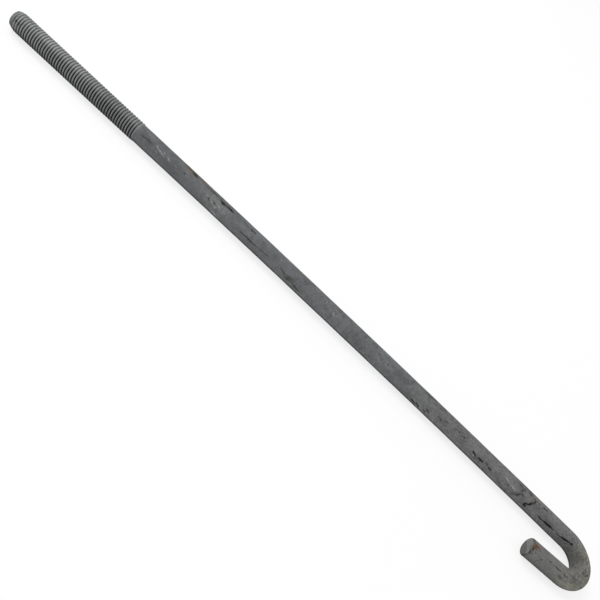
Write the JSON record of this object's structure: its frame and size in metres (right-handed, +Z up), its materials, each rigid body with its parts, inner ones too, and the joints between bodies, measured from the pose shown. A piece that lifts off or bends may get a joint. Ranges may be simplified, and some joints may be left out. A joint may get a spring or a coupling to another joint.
{
  "type": "j-bolt",
  "caption": "Steel rod with a rolled coarse thread at one end and a tight J hook bent at the other, for casting into concrete or hooking round a bar.",
  "frame": {"origin": "centre of the flat face at the threaded end, on the thread's axis", "axes": "+X along the thread towards the hook, hook opening back along -X on the -Y side, J flat in XY, +Z up as it lies on its side"},
  "size_m": [0.476, 0.0468, 0.0126],
  "materials": {
    "zinc": "hot-dip galvanised steel, dull mid grey with mottling, pits, dark scuffs and a little rust"
  },
  "bodies": {
    "root": {"j_bolt": "zinc"}
  },
  "joints": []
}
